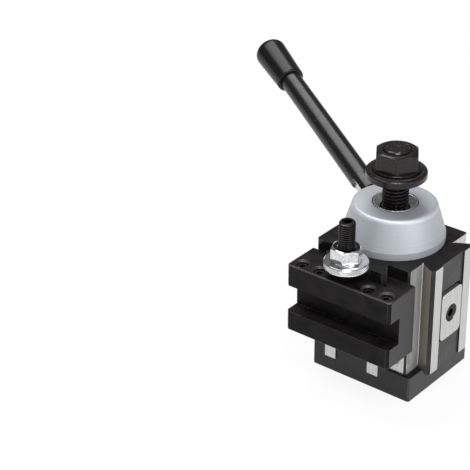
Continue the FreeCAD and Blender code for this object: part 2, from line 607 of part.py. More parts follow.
def height_stud():
    stud = socket_screw(HEIGHT_STUD_RADIUS, HOLDER_TOP_Z - HEIGHT_STUD_DEPTH, HEIGHT_STUD_TOP_Z,
                        HEIGHT_STUD_SOCKET, HEIGHT_STUD_CHAMFER)
    stud.translate(V(HEIGHT_STUD_X, HEIGHT_STUD_Y, 0))
    return stud


def knurled_nut():
    bore = HEIGHT_STUD_RADIUS + THREAD_GAP
    top = POST_HEIGHT + KNURLED_THICKNESS
    return turned([(bore, POST_HEIGHT), (KNURLED_RADIUS - KNURLED_CHAMFER, POST_HEIGHT),
                   (KNURLED_RADIUS, POST_HEIGHT + KNURLED_CHAMFER),
                   (KNURLED_RADIUS, top - KNURLED_CHAMFER), (KNURLED_RADIUS - KNURLED_CHAMFER, top),
                   (KNURLED_BOSS_RADIUS, top), (KNURLED_BOSS_RADIUS, LOCK_NUT_Z), (bore, LOCK_NUT_Z)],
                  HEIGHT_STUD_X, HEIGHT_STUD_Y)


def lock_nut():
    nut = one(hex_nut(LOCK_NUT_FLATS, LOCK_NUT_Z, LOCK_NUT_Z + LOCK_NUT_HEIGHT,
                      HEIGHT_STUD_RADIUS + THREAD_GAP, LOCK_NUT_TURN_DEG))
    nut.translate(V(HEIGHT_STUD_X, HEIGHT_STUD_Y, 0))
    return nut


def pieces():
    """Every piece of the tool post by the name of its node."""
    parts = {
        "post_body": post_body(),
        "centre_sleeve": centre_sleeve(),
        "cam_spindle": spindle(),
        "hub_ring": hub_ring(),
        "hub_grub_screw": ring_screw(),
        "handle_stud": handle_stud(),
        "handle_rod": handle_rod(),
        "handle_knob": handle_knob(),
        "centre_bolt": centre_bolt(),
        "nut_washer": nut_washer(),
        "centre_nut": centre_nut(),
        "holder_block": holder_block(),
        "height_stud": height_stud(),
        "knurled_nut": knurled_nut(),
        "lock_nut": lock_nut(),
    }
    for name, make in (("piston", piston), ("clamp_plate", clamp_plate),
                       ("plate_screw", plate_screw)):
        parts["front_" + name] = make(FRONT_SHOULDER)
        parts["right_" + name] = to_right(make(RIGHT_SHOULDER))
    for number, place in enumerate(clamp_screw_places(), 1):
        parts["clamp_screw_%d" % number] = clamp_screw(place)
    return parts


os.makedirs("parts", exist_ok=True)
for name, shape in pieces().items():
    shape.exportStep("parts/%s.step" % name)
    print("%-18s solids %d valid %s volume %.0f" % (name, len(shape.Solids), shape.isValid(),
                                                    shape.Volume))
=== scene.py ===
"""Quick change tool post with one tool holder: finishes, threads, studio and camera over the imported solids.

Everything is in metres in the part's own frame: Z up, the bolt on the Z axis, the tool holder on the -Y side.
"""

import json
import math

import bmesh
import bpy
import numpy as np
from bpy.props import FloatProperty, FloatVectorProperty, IntProperty, PointerProperty
from mathutils import Matrix, Vector

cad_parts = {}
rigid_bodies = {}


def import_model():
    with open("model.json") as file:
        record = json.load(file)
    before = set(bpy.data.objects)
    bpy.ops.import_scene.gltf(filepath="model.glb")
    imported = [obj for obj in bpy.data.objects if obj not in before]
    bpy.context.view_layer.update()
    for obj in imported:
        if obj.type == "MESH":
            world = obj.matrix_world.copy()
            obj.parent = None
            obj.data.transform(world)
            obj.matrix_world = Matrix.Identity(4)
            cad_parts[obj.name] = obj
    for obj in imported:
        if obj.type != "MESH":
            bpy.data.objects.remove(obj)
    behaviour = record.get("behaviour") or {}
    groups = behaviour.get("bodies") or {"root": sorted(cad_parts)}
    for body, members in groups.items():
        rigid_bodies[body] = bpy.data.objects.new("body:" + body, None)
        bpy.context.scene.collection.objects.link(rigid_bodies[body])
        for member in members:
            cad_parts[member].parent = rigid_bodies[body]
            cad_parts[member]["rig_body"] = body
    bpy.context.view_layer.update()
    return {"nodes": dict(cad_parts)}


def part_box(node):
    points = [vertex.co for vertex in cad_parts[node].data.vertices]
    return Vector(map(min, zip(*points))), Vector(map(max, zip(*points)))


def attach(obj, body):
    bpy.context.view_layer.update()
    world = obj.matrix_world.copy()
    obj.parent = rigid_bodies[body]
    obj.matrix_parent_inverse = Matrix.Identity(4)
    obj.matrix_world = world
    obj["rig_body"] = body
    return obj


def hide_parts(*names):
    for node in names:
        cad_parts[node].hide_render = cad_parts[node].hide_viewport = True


bl_info = {
    "name": "Quick Change Tool Post",
    "version": (1, 0, 0),
    "blender": (4, 2, 0),
    "location": "3D View > Sidebar > Tool Post",
    "description": "Dresses the packed tool post with threads, ground and blackened steel, and a studio",
    "category": "Object",
}

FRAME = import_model()
NODES = FRAME["nodes"]
MM = 0.001
TAU = 2 * math.pi
ON_AXIS = 1e-6                          # radius of a row that closes on its axis

# Places on the solids by which their faces are told apart
BASE_TOP = 14.4 * MM
SHOULDER_DEPTH = 9.7 * MM               # from the lands of a dovetail back to its shoulders
FRONT_FLANKS = -27.45 * MM              # the front dovetail's flanks are in front of this
RIGHT_FLANKS = 28.95 * MM               # and those of the right one are right of this
RIGHT_CORNER = 27.5 * MM                # right of this are the right shoulders' chamfers and grooves
ROOT_GROOVES = (13.4 * MM, -15.0 * MM)
GROOVE_REACH = 0.45 * MM
HOLDER_FLANKS = -36.9 * MM              # the holder's flanks are behind this
NEAR = 0.05 * MM


# Sizes and colours that a user would change


def length(name, description, millimetres):
    return FloatProperty(name=name, description=description, default=millimetres * MM, unit="LENGTH",
                         min=0.0, precision=5)


def angle(name, description, degrees):
    return FloatProperty(name=name, description=description, default=math.radians(degrees), subtype="ANGLE")


def linear(code):
    """An sRGB hex value as linear red, green and blue."""
    parts = np.array([int(code[i:i + 2], 16) for i in (1, 3, 5)]) / 255
    return tuple(np.where(parts <= 0.04045, parts / 12.92, ((parts + 0.055) / 1.055) ** 2.4))


def colour(name, description, code):
    return FloatVectorProperty(name=name, description=description, default=linear(code), size=3,
                               subtype="COLOR", min=0.0, max=1.0)


class ThreadSizes(bpy.types.PropertyGroup):
    """Threads of the bolt, the height stud and the small screws."""
    bolt_radius: length("Bolt radius", "Outer radius of the centre bolt's thread", 7.0)
    bolt_pitch: length("Bolt pitch", "Rise of the centre bolt's thread in a turn", 2.0)
    stud_radius: length("Stud radius", "Outer radius of the height stud's thread", 4.35)
    stud_pitch: length("Stud pitch", "Rise of the height stud's thread in a turn", 1.25)
    stud_socket: length("Stud socket", "Key size of the hexagon socket in the height stud", 5.0)
    bolt_head: length("Bolt head", "Height of the centre bolt's round head", 6.0)
    bolt_thread_start: length("Bolt thread start", "From the foot of the bolt to its visible thread", 80.0)
    bolt_chamfer: length("Bolt chamfer", "Chamfer on the end of the centre bolt", 1.2)
    screw_radius: length("Screw radius", "Outer radius of a tool clamping screw", 3.0)
    screw_pitch: length("Screw pitch", "Rise of a clamping screw's thread in a turn", 1.0)
    screw_socket: length("Screw socket", "Key size of the hexagon socket in a clamping screw", 3.0)
    plate_socket: length("Plate screw socket", "Key size of the socket in a plate screw", 4.0)


class NutSizes(bpy.types.PropertyGroup):
    """Hexagon nuts, the swivel washer and the knurled nut."""
    centre_flats: length("Centre nut flats", "Width of the centre nut across its flats", 21.6)
    centre_turn: angle("Centre nut turn", "Heading of one corner of the centre nut", 3.5)
    lock_flats: length("Lock nut flats", "Width of the lock nut across its flats", 14.8)
    lock_turn: angle("Lock nut turn", "Heading of one corner of the lock nut", 51)
    crown: FloatProperty(name="Crown", description="Flat top of a nut as a share of its width across flats",
                         default=0.93, min=0.5, max=1.0)
    collar_height: length("Collar height", "Height of the round collar under the centre nut", 1.0)
    washer_step: length("Washer step", "Height of the raised seat on the swivel washer", 0.8)
    washer_seat: length("Washer seat", "Radius of the raised seat on the swivel washer", 14.4)
    disc_height: length("Knurled height", "Height of the knurled rim", 4.0)
    boss_radius: length("Boss radius", "Radius of the boss under the lock nut", 7.2)
    knurl_count: IntProperty(name="Knurls", description="Diamonds round the knurled rim", default=64, min=12)
    knurl_depth: length("Knurl depth", "Depth of the knurl", 0.32)


class HandleSizes(bpy.types.PropertyGroup):
    """Handle rod and its line."""
    heading: angle("Heading", "Heading of the handle round the bolt", 154.5)
    rise: angle("Rise", "Rise of the handle", 16)
    start_height: length("Start height", "Height at which the handle's line meets the bolt's axis", 83.7)
    root_distance: length("Root distance", "From the bolt's axis to the end of the rod", 25.6)
    seat_distance: length("Seat distance", "From the bolt's axis to the inner end of the knob", 124.5)
    root_radius: length("Root radius", "Radius of the rod next to the ring", 6.4)
    knob_radius: length("Knob end radius", "Radius of the rod next to the knob", 6.1)
    stud_radius: length("Handle stud radius", "Radius of the stud inside the rod", 4.0)
    stud_reach: length("Handle stud reach", "How far the stud goes into the rod", 14.0)
    tenon_radius: length("Tenon radius", "Radius of the rod's end inside the knob", 4.0)
    tenon_reach: length("Tenon reach", "How far the rod goes into the knob", 16.0)
    root_chamfer: length("Root chamfer", "Chamfer on the rod next to the ring", 0.6)
    step_edge: length("Step edge", "Length of the edge where the flats end", 0.12)
    flats: length("Flats", "Width across the two spanner flats", 9.5)
    flat_length: length("Flat length", "Length of the spanner flats along the rod", 11.1)
    flat_turn: angle("Flat turn", "Heading of one flat about the rod", -133.4)


class EdgeSizes(bpy.types.PropertyGroup):
    """Softness of machined edges."""
    block: length("Block edges", "Width of the broken edges of the post and the holder", 0.16)
    plate: length("Plate edges", "Width of the broken edges of the clamping plates", 0.18)
    fastener: length("Fastener edges", "Reach of the rounding on nuts, screws and washers", 0.18)


class FinishColours(bpy.types.PropertyGroup):
    """Base colours of the finishes."""
    black_oxide: colour("Black oxide", "Blackened steel of the post and the holder", "#1c191a")
    worn_edge: colour("Worn edge", "Edges where the black has rubbed thin", "#7d7875")
    ground: colour("Ground steel", "Ground guide faces", "#c3c4c2")
    # painted shade: the flanks' ground steel, darker because it lies in shade
    flank: colour("Ground flank", "Ground flanks of the dovetails", "#8b867f")
    # painted highlight: the root's relief groove is near white where light catches it
    root: colour("Bright root", "Bright relief groove in the root of a dovetail", "#fdfcf8")
    ring: colour("Turned ring", "Turned silver ring", "#e1e7ed")
    gloss_black: colour("Gloss black", "Polished black handle rod", "#0f0e10")
    grip_black: colour("Grip black", "Moulded black knob", "#0d0d0e")
    zinc: colour("Zinc", "Bright zinc plate of the nuts", "#dadbdc")
    fastener: colour("Fastener black", "Oiled black bolt, nut, washer and screws", "#120e0d")


class StudioSettings(bpy.types.PropertyGroup):
    """Camera and light."""
    azimuth: angle("Azimuth", "Heading of the camera round the post", 39.313)
    elevation: angle("Elevation", "Height of the camera as an angle", 28.92)
    roll: angle("Roll", "Tilt of the picture", -0.339)
    distance: length("Distance", "From the camera to the foot of the bolt, along its view", 939.42)
    aside: length("Aside", "Foot of the bolt, to the right of the picture's centre", 83.844)
    below: length("Below", "Foot of the bolt, below the picture's centre", 67.542)
    lens: FloatProperty(name="Lens", description="Focal length on a 36 mm sensor", default=131.43,
                        subtype="NONE", min=1.0)
    floor: colour("Floor", "Plain pale floor", "#f4f4f4")


def settings():
    return bpy.context.scene.tool_post


# Meshes from profiles


def smooth_corners(corners, reach, closed=False, steps=5):
    """Rounds a profile. Each corner becomes a parabola that leaves its two sides at the corner's reach:
    (1-t)^2 start + 2 t (1-t) corner + t^2 end. One more row just outside it keeps the flats flat."""
    reach = np.asarray(reach, float)[:, None, None]
    if not closed:
        reach = reach * (np.arange(len(reach)) % (len(reach) - 1) > 0)[:, None, None]
    back = np.roll(corners, 1, axis=0) - corners
    ahead = np.roll(corners, -1, axis=0) - corners
    back = corners + reach * back / np.linalg.norm(back, axis=-1, keepdims=True)
    ahead = corners + reach * ahead / np.linalg.norm(ahead, axis=-1, keepdims=True)
    t = np.linspace(0, 1, steps)[:, None, None, None]
    arcs = (1 - t) ** 2 * back + 2 * t * (1 - t) * corners + t * t * ahead
    outer = [corners + 1.5 * (side - corners) for side in (back, ahead)]
    rows = np.concatenate([outer[0][None], arcs, outer[1][None]]).swapaxes(0, 1)
    rows = rows.reshape(-1, *corners.shape[1:])
    apart = np.abs(np.diff(rows, axis=0)).max(axis=(1, 2)) > 1e-8
    return rows[np.concatenate([[True], apart])]


def straight(start, end, rows):
    """Rows evenly spaced from one (radius, height) row to another, both included."""
    t = np.linspace(0, 1, rows)[:, None, None]
    return (1 - t) * start + t * end


def profile(points, columns):
    """(radius, height) corners, each a number or a value for each column, as a (corner, column, 2) array."""
    return np.array([[np.broadcast_to(r, columns), np.broadcast_to(z, columns)] for r, z in points],
                    float).transpose(0, 2, 1)


def turned_points(rows, angles, centre=(0.0, 0.0)):
    """Carries a profile round an upright axis: x = r cos(angle), y = r sin(angle), z = height."""
    radius, height = rows[..., 0], rows[..., 1]
    return np.stack([centre[0] + radius * np.cos(angles), centre[1] + radius * np.sin(angles), height], -1)


def closed_surface(name, points, loop=False):
    """A mesh over a grid of points whose columns close round the axis. Its rows close on themselves,
    or end in one point at each end where they don't."""
    rows, columns = points.shape[:2]
    index = np.arange(rows * columns).reshape(rows, columns)
    lower, upper = (index, np.roll(index, -1, axis=0)) if loop else (index[:-1], index[1:])
    quads = np.stack([lower, np.roll(lower, -1, axis=1), np.roll(upper, -1, axis=1), upper], -1)
    vertices = points.reshape(-1, 3)
    faces = quads.reshape(-1, 4).tolist()
    if not loop:
        first, last = index[0], index[-1]
        foot, head = rows * columns, rows * columns + 1
        vertices = np.concatenate([vertices, [points[0].mean(0), points[-1].mean(0)]])
        faces += np.stack([np.full(columns, foot), np.roll(first, -1), first], -1).tolist()
        faces += np.stack([last, np.roll(last, -1), np.full(columns, head)], -1).tolist()
    mesh = bpy.data.meshes.new(name)
    mesh.from_pydata(vertices.tolist(), [], faces)
    mesh.shade_smooth()
    mesh.set_sharp_from_angle(angle=math.radians(38))
    mesh.validate()
    return mesh


def add_piece(mesh, material, body, node):
    """Puts a finished mesh in the scene, in its body's place in the part, for one node of the solids."""
    piece = bpy.data.objects.new(mesh.name, mesh)
    bpy.context.scene.collection.objects.link(piece)
    mesh.materials.append(material)
    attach(piece, body)
    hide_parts(node)
    return piece


def paint_faces(mesh, choose):
    """Sets each face's material by the distance of its middle from the bolt's axis and its height."""
    middles = np.zeros(len(mesh.polygons) * 3)
    mesh.polygons.foreach_get("center", middles)
    middles = middles.reshape(-1, 3)
    mesh.polygons.foreach_set("material_index", choose(np.hypot(middles[:, 0], middles[:, 1]), middles[:, 2]))


def axis_of(node):
    """Where an upright round node's axis stands, from its box."""
    low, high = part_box(node)
    return ((low.x + high.x) / 2, (low.y + high.y) / 2)


def even_angles(columns):
    return TAU * np.arange(columns) / columns


def corner_angles(turn, each_side=16):
    """Columns round a hexagon that crowd towards its corners: 30 degrees times t^2.2 either side."""
    t = np.linspace(-1, 1, each_side, endpoint=False) + 1 / each_side
    offsets = math.radians(30) * np.sign(t) * np.abs(t) ** 2.2
    return (turn + math.radians(60) * np.arange(6)[:, None] + offsets).ravel()


def hexagon_radius(flats, angles, turn, sharpness=90):
    """Radius of a hexagon with barely rounded corners: half the flats, over the power mean of the
    cosines to its six sides."""
    sides = turn + math.radians(30) + math.radians(60) * np.arange(6)[:, None]
    cosines = np.clip(np.cos(angles - sides), 0, 1)
    return flats / 2 * (cosines ** sharpness).sum(0) ** (-1 / sharpness)


def thread_depth(height, angles, pitch):
    """Depth of a right-handed thread under its crest: a cosine of height / pitch - angle / turn, flattened
    at crest and root, 0.61 of the pitch deep."""
    wave = np.cos(TAU * (height / pitch - angles / TAU))
    return 0.61 * pitch * (0.5 - 0.5 * np.clip(1.35 * wave, -1, 1))


def threaded_rows(radius, low, high, pitch, angles, per_turn=14):
    """Rows up a threaded shank, whose thread fades in over its first turn."""
    heights = np.linspace(low, high, max(3, int((high - low) / pitch * per_turn)))
    fade = np.clip((heights - low) / pitch, 0, 1)[:, None]
    radii = radius - fade * thread_depth(heights[:, None], angles, pitch)
    return np.stack([radii, np.broadcast_to(heights[:, None], radii.shape)], -1)


# Materials


def add_node(tree, kind, values=None, links=None):
    """Adds one shader node, sets its values and joins its inputs."""
    node = tree.nodes.new(kind)
    for key, value in (values or {}).items():
        if isinstance(key, str) and hasattr(node, key):
            setattr(node, key, value)
        else:
            node.inputs[key].default_value = value
    for key, source in (links or {}).items():
        tree.links.new(source, node.inputs[key])
    return node


def new_material(name):
    material = bpy.data.materials.new(name)
    material.use_nodes = True
    tree = material.node_tree
    tree.nodes.clear()
    place = add_node(tree, "ShaderNodeTexCoord").outputs["Object"]
    return material, tree, place


def ramp(tree, source, stops):
    """A colour ramp whose stops are (place, colour) or (place, grey)."""
    node = add_node(tree, "ShaderNodeValToRGB", links={"Fac": source})
    elements = node.color_ramp.elements
    while len(elements) < len(stops):
        elements.new(1.0)
    for element, (at, tone) in zip(elements, stops):
        element.position = at
        element.color = (*np.broadcast_to(tone, 3), 1)
    return node.outputs["Color"]


def shade(base, factor):
    """A colour made darker or lighter."""
    return tuple(min(1.0, float(c) * factor) for c in base)


def finish_surface(tree, shader_values, shader_links):
    shader = add_node(tree, "ShaderNodeBsdfPrincipled", shader_values, shader_links)
    add_node(tree, "ShaderNodeOutputMaterial", links={"Surface": shader.outputs[0]})


def noise(tree, place, size, detail=3.0, roughness=0.5):
    """Cloudy noise, whose patches are about this size in metres."""
    return add_node(tree, "ShaderNodeTexNoise", {"Scale": 1 / size, "Detail": detail, "Roughness": roughness},
                    {"Vector": place}).outputs["Fac"]


def spread(tree, source, low, high):
    """Spreads the middle of a noise, 0.3 to 0.7, over a range of values."""
    return add_node(tree, "ShaderNodeMapRange", {"From Min": 0.3, "From Max": 0.7, "To Min": low,
                                                 "To Max": high}, {"Value": source}).outputs[0]


def streaks(tree, place, scale, detail=3.0):
    """Noise stretched into lines: scale is lines per metre on each axis, small along the lines."""
    mapped = add_node(tree, "ShaderNodeMapping", {"Scale": scale}, {"Vector": place})
    return noise(tree, mapped.outputs[0], 1.0, detail, 0.6)


def circles(tree, place, centre, spacing):
    """Noise over the distance from an upright axis and the height, so that it makes turning rings."""
    moved = add_node(tree, "ShaderNodeMapping", {"Location": (-centre[0], -centre[1], 0.0)},
                     {"Vector": place})
    split = add_node(tree, "ShaderNodeSeparateXYZ", links={"Vector": moved.outputs[0]})
    flat = add_node(tree, "ShaderNodeCombineXYZ", links={"X": split.outputs["X"], "Y": split.outputs["Y"]})
    radius = add_node(tree, "ShaderNodeVectorMath", {"operation": "LENGTH"}, {0: flat.outputs[0]})
    rings = add_node(tree, "ShaderNodeCombineXYZ", links={"X": radius.outputs["Value"],
                                                          "Y": split.outputs["Z"]})
    return noise(tree, rings.outputs[0], spacing, 3.0, 0.6)


def lines_bump(tree, height, depth):
    return add_node(tree, "ShaderNodeBump", {"Strength": 1.0, "Distance": depth},
                    {"Height": height}).outputs["Normal"]


def black_oxide(name, base, line_scale, sheen_level=0.14, depth=6e-6, line_share=0.3):
    """Blackened machined steel: a thin dark oxide over a milled face. The eye sees a warm near-black with a
    soft sheen, faint cloudy patches a few millimetres wide and the fine lines of the cutter."""
    material, tree, place = new_material(name)
    clouds = noise(tree, place, 7 * MM, 4.0, 0.55)
    lines = streaks(tree, place, line_scale)
    mixed = add_node(tree, "ShaderNodeMix", {0: line_share}, {2: clouds, 3: lines}).outputs[0]
    tint = ramp(tree, mixed, [(0.4, shade(base, 0.5)), (0.6, shade(base, 1.6))])
    finish_surface(tree, {"Metallic": 0.0, "Specular IOR Level": sheen_level},
                   {"Base Color": tint, "Roughness": spread(tree, clouds, 0.42, 0.56),
                    "Normal": lines_bump(tree, lines, depth)})
    return material


def worn_edge(name, base):
    """Broken edges of blackened steel: handling has thinned the oxide, so a slim paler line shows."""
    material, tree, place = new_material(name)
    tint = ramp(tree, noise(tree, place, 2.5 * MM), [(0.35, shade(base, 0.5)), (0.65, shade(base, 1.15))])
    finish_surface(tree, {"Metallic": 0.35, "Roughness": 0.38}, {"Base Color": tint})
    return material


def ground_steel(name, base, line_scale, roughness=0.17, metal=0.85, painted_dark_top=False):
    """Surface-ground steel: a flat pale metal with very fine straight grinding lines. The lines are drawn
    about 0.5 mm apart, coarser than grit, so that they show. With a painted dark top, a painted reflection
    of the holder's black top turns the face near-black just under the top of the seated holder."""
    material, tree, place = new_material(name)
    lines = streaks(tree, place, line_scale, 4.0)
    tint = ramp(tree, lines, [(0.3, shade(base, 0.86)), (0.7, shade(base, 1.06))])
    # painted reflection: from just under the holder's top upward the colour falls to 0.07, for the black top
    # it mirrors
    if painted_dark_top:
        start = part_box("holder_block")[1].z - 4 * MM
        split = add_node(tree, "ShaderNodeSeparateXYZ", links={"Vector": place})
        level = add_node(tree, "ShaderNodeMapRange", {"From Min": start, "From Max": start + 3 * MM,
                                                      "To Min": 1.0, "To Max": 0.07},
                         {"Value": split.outputs["Z"]}).outputs[0]
        tint = add_node(tree, "ShaderNodeVectorMath", {"operation": "SCALE"},
                        {0: tint, "Scale": level}).outputs[0]
    gloss = spread(tree, lines, roughness - 0.05, roughness + 0.07)
    finish_surface(tree, {"Metallic": metal}, {"Base Color": tint, "Roughness": gloss,
                                               "Normal": lines_bump(tree, lines, 1.5e-6)})
    return material


def turned_ring(name, base):
    """Fine-turned and blasted steel: a satin silver with rings about 0.25 mm apart that follow the lathe.
    A painted highlight runs as a thin light line over the foot band, and the round of the rim is painted
    lighter than the cone as a highlight."""
    material, tree, place = new_material(name)
    rings = circles(tree, place, (0.0, 0.0), 0.25 * MM)
    tint = ramp(tree, rings, [(0.3, shade(base, 0.93)), (0.7, shade(base, 1.05))])
    low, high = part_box("hub_ring")
    split = add_node(tree, "ShaderNodeSeparateXYZ", links={"Vector": place})
    level = add_node(tree, "ShaderNodeMapRange", {"From Min": low.z, "From Max": high.z},
                     {"Value": split.outputs["Z"]}).outputs[0]
    band = 4.0 * MM / (high.z - low.z)
    # painted highlights by height: the line over the foot band and the round of the rim, over a darker cone
    # and top
    painted_light_by_height = ramp(tree, level, [(0.0, 0.7), (band - 0.01, 0.72), (band, 0.9), (band + 0.012, 0.6),
                                 (0.88, 0.62), (0.94, 0.8), (0.98, 0.72), (0.998, 0.6)])
    both = add_node(tree, "ShaderNodeMix", {"data_type": "RGBA", "blend_type": "MULTIPLY", 0: 1.0},
                    {6: tint, 7: painted_light_by_height}).outputs[2]
    finish_surface(tree, {"Metallic": 0.65, "Roughness": 0.55},
                   {"Base Color": both, "Normal": lines_bump(tree, rings, 2e-6)})
    return material


def gloss_black(name, base):
    """Smooth blackened steel: nearly black, with one broad soft streak of light along it."""
    material, tree, place = new_material(name)
    gloss = spread(tree, noise(tree, place, 5 * MM), 0.23, 0.31)
    finish_surface(tree, {"Base Color": (*base, 1), "Specular IOR Level": 0.42}, {"Roughness": gloss})
    return material


def moulded_black(name, base):
    """Moulded phenolic plastic: deep even black with a slightly soft gloss."""
    material, tree, place = new_material(name)
    grain = noise(tree, place, 0.8 * MM, 2.0)
    finish_surface(tree, {"Base Color": (*base, 1), "Specular IOR Level": 0.27, "Roughness": 0.27},
                   {"Normal": lines_bump(tree, grain, 4e-6)})
    return material


def bright_zinc(name, base, node):
    """Bright zinc plate over turned steel: a clean pale metal, a little clouded, with faint lathe rings."""
    material, tree, place = new_material(name)
    rings = circles(tree, place, axis_of(node), 0.3 * MM)
    clouds = noise(tree, place, 1.6 * MM)
    mixed = add_node(tree, "ShaderNodeMath", {"operation": "MULTIPLY_ADD", 1: 0.4},
                     {0: rings, 2: clouds}).outputs[0]
    tint = ramp(tree, mixed, [(0.52, shade(base, 0.8)), (0.78, shade(base, 1.04))])
    finish_surface(tree, {"Metallic": 1.0, "Roughness": 0.13},
                   {"Base Color": tint, "Normal": lines_bump(tree, rings, 3e-6)})
    return material


def oiled_black(name, base, node, level=0.4):
    """Heat-blackened and oiled fasteners: a brown-black with a satin sheen and the rings of turning."""
    material, tree, place = new_material(name)
    rings = circles(tree, place, axis_of(node), 0.35 * MM)
    clouds = noise(tree, place, 3 * MM, 4.0)
    tint = ramp(tree, clouds, [(0.3, shade(base, 0.6)), (0.7, shade(base, 1.4))])
    sheen = spread(tree, noise(tree, place, 0.7 * MM, 2.0), 0.12, 0.36)
    finish_surface(tree, {"Specular IOR Level": level},
                   {"Base Color": tint, "Roughness": sheen, "Normal": lines_bump(tree, rings, 7e-6)})
    return material


FINISHES = {}


def finish(name):
    """One shared material, made the first time that a piece asks for it."""
    if name not in FINISHES:
        shades = settings().colours
        black, steel, stud = shades.black_oxide, shades.ground, "height_stud"
        upright, fine_upright, level = (1700, 1700, 50), (2600, 2600, 60), (260, 260, 3300)
        recipes = {                     # maker, base colour, and the maker's own values
            "milled_black_oxide": (black_oxide, black, (1500, 1500, 60), 0.7, 1.6e-5, 0.8),
            "dry_black_oxide": (black_oxide, black, level, 0.65),
            "flat_black_oxide": (black_oxide, black, level, 0.35),
            # painted shade: the tops take a darker copy of the black oxide
            "black_oxide_top": (black_oxide, shade(black, 0.75), (120, 2600, 120), 0.1),
            # painted shade: the holder's front and other plain faces take a darker copy of the black oxide
            "black_oxide_front": (black_oxide, shade(black, 0.6), level, 0.1),
            "worn_black_edge": (worn_edge, shades.worn_edge),
            "ground_steel_upright": (ground_steel, steel, upright),
            # painted reflection: the front ground faces darken above the seated holder
            "ground_steel_front": (ground_steel, steel, fine_upright, 0.17, 0.85, True),
            # painted light: the right shoulders in front take a lighter copy of the ground steel
            "ground_shoulder": (ground_steel, shade(steel, 1.2), upright, 0.3, 0.6),
            # painted shade: the flanks take a darker copy of the ground steel
            "ground_flank": (ground_steel, shades.flank, fine_upright, 0.36),
            # painted highlight: the right dovetail's root grooves painted near white
            "bright_root": (ground_steel, shades.root, (300, 300, 60), 0.3, 0.3),
            "ground_steel_round": (ground_steel, steel, (150, 150, 2600), 0.26),
            # painted highlights on the ring's rim and foot band
            "turned_satin_steel": (turned_ring, shades.ring),
            "gloss_black_rod": (gloss_black, shades.gloss_black),
            "moulded_black_knob": (moulded_black, shades.grip_black),
            "bright_zinc_plate": (bright_zinc, shades.zinc, stud),
            # painted reflection: a darker copy of the zinc for the lock nut's top face
            "dull_zinc_plate": (bright_zinc, shade(shades.zinc, 0.12), stud),
            "oiled_black_centre": (oiled_black, shades.fastener, "centre_bolt"),
            "oiled_black_small": (oiled_black, shades.fastener, stud),
            "deep_black_screw": (oiled_black, shade(shades.fastener, 0.6), stud, 0.12),
        }
        maker, *values = recipes[name]
        FINISHES[name] = maker(name, *values)
    return FINISHES[name]


# Pieces that keep the solids' faces


def softened_copy(node, zone, finishes, width, weld=1e-6):
    """A copy of a node with its flat faces joined, its faces sorted into finishes and its edges broken
    by a small bevel, whose faces take the last finish."""
    source = NODES[node].data
    places = np.zeros(len(source.vertices) * 3)
    source.vertices.foreach_get("co", places)
    corners = np.zeros(len(source.loops), int)
    source.loops.foreach_get("vertex_index", corners)
    mesh = bpy.data.meshes.new(node + "_dressed")
    mesh.from_pydata(places.reshape(-1, 3).tolist(), [], corners.reshape(-1, 3).tolist())
    work = bmesh.new()
    work.from_mesh(mesh)
    bmesh.ops.remove_doubles(work, verts=work.verts, dist=weld)
    bmesh.ops.dissolve_limit(work, angle_limit=math.radians(0.4), verts=work.verts, edges=work.edges)
    low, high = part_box(node)
    for face in work.faces:
        face.material_index = zone(face.normal, face.calc_center_median(), low, high)
        face.smooth = True
    work.to_mesh(mesh)
    work.free()
    mesh.set_sharp_from_angle(angle=math.radians(28))
    piece = add_piece(mesh, finish(finishes[0]), NODES[node]["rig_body"], node)
    for name in finishes[1:]:
        mesh.materials.append(finish(name))
    bevel = piece.modifiers.new("broken edges", "BEVEL")
    bevel.width = width
    bevel.segments = 2
    bevel.limit_method = "ANGLE"
    bevel.angle_limit = math.radians(30)
    bevel.harden_normals = True
    bevel.material = len(finishes) - 1


def post_zone(normal, centre, low, high):
    """Finish of a face of the post: 0 flat black, 1 milled black band, 2 ground face, 3 ground flank darkened
    as painted shade, 4 black top darkened as painted shade, 5 drier black side, 6 groove in a root painted
    near white as a highlight, 7 ground face in front with a painted dark reflection above the holder, 8
    ground shoulder lightened as painted light."""
    if centre.z < BASE_TOP + NEAR:
        return 4 if normal.z > 0.9 else 5 if abs(normal.x) > 0.6 else 0
    if normal.z > 0.7:
        return 4
    right = normal.x > 0.9
    outward = (-normal.y, -centre.y, -low.y), (normal.x, centre.x, high.x)
    for facing, reach, land in outward:
        if facing > 0.99:
            depth = land - reach
            shoulder = abs(depth - SHOULDER_DEPTH) < NEAR
            if depth < NEAR or shoulder:
                return 7 if not right else 8 if shoulder and centre.y < 0 else 2
            return 1 if right else 0
    if (abs(normal.z) < 0.01 and centre.y < FRONT_FLANKS) or centre.x > RIGHT_FLANKS:
        return 3 if min(abs(normal.x), abs(normal.y)) < 0.6 else 0
    in_groove = min(abs(centre.y - groove) for groove in ROOT_GROOVES) < GROOVE_REACH
    return 6 if in_groove and centre.x > RIGHT_CORNER and abs(normal.z) < 0.01 else 0


def holder_zone(normal, centre, low, high):
    """Finish of a face of the holder: 0 black darkened as painted shade, 1 black top darkened as painted
    shade,
    2 ground back lands, 3 ground flank darkened as painted shade, 4 drier black of the ends and of the screw
    holes' mouths."""
    if 0.5 < normal.z < 0.9 or abs(normal.x) > 0.9:
        return 4
    if normal.z > 0.9:
        return 1
    if normal.y > 0.99 and high.y - centre.y < NEAR:
        return 2
    if centre.y > HOLDER_FLANKS and abs(normal.z) < 0.01 and 0.1 < abs(normal.y) < 0.6:
        return 3
    return 0


class TOOLPOST_OT_post_body(bpy.types.Operator):
    """Dress the post: ground lands and shoulders, blackened bands, top and base"""
    bl_idname = "toolpost.post_body"
    bl_label = "Post Body"

    def execute(self, context):
        finishes = ["flat_black_oxide", "milled_black_oxide", "ground_steel_upright", "ground_flank",
                    "black_oxide_top", "dry_black_oxide", "bright_root", "ground_steel_front",
                    "ground_shoulder", "worn_black_edge"]
        softened_copy("post_body", post_zone, finishes, settings().edges.block)
        return {"FINISHED"}


